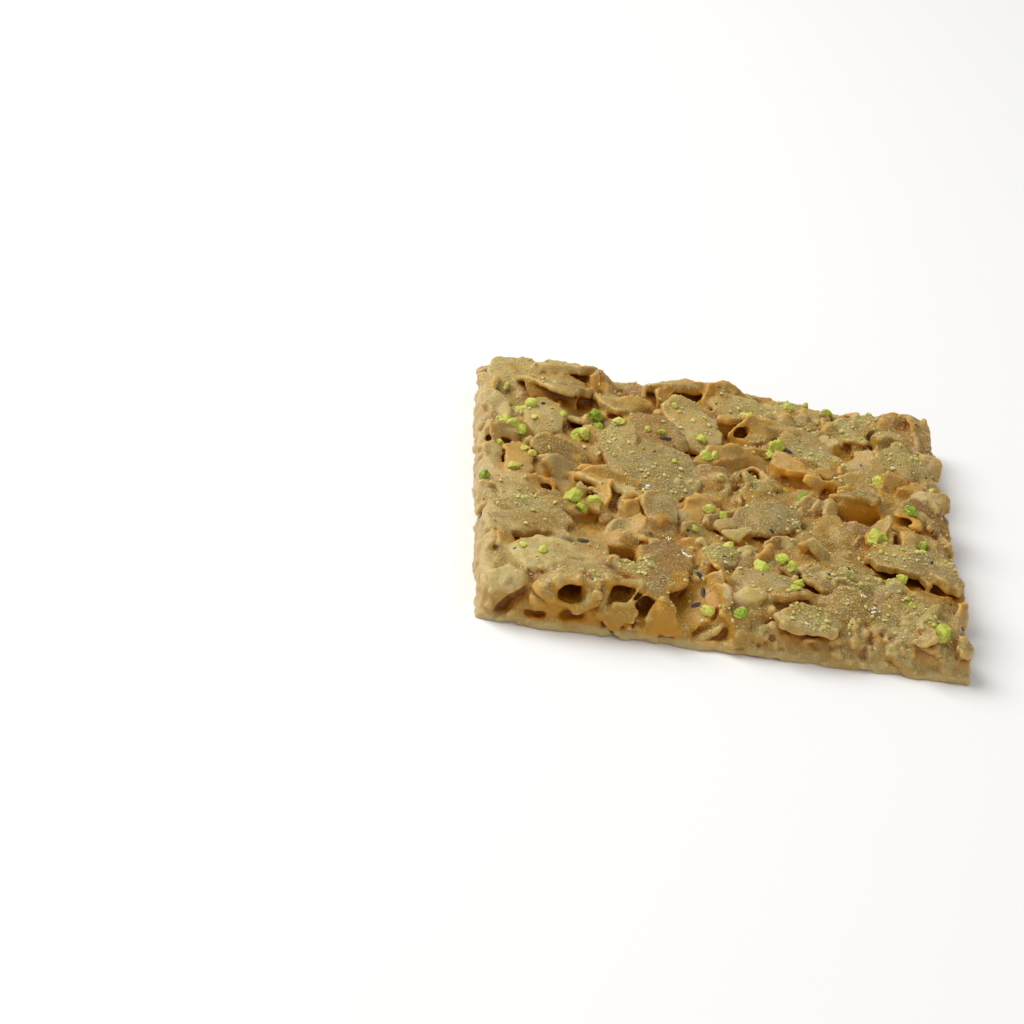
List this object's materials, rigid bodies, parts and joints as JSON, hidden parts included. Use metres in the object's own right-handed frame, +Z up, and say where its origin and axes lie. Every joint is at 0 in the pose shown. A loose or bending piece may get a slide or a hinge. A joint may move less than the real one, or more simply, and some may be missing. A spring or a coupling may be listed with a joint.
{
  "type": "almond brittle square",
  "caption": "Flat square slab of almond brittle: flaked almonds set at all angles in cooked toffee over a thin, flat base, with chopped pistachio stuck to the top.",
  "frame": {"origin": "centre of the slab's plan, on the plane of its flat underside", "axes": "+Z up through the slab's thickness, +Y from the front edge with the open hollows to the back edge, +X to the right seen from the front"},
  "size_m": [0.076, 0.076, 0.0111],
  "materials": {
    "almond_toffee": "satin, slightly wet where toffee shows"
  },
  "bodies": {
    "root": {"brittle": "almond_toffee"}
  },
  "joints": []
}
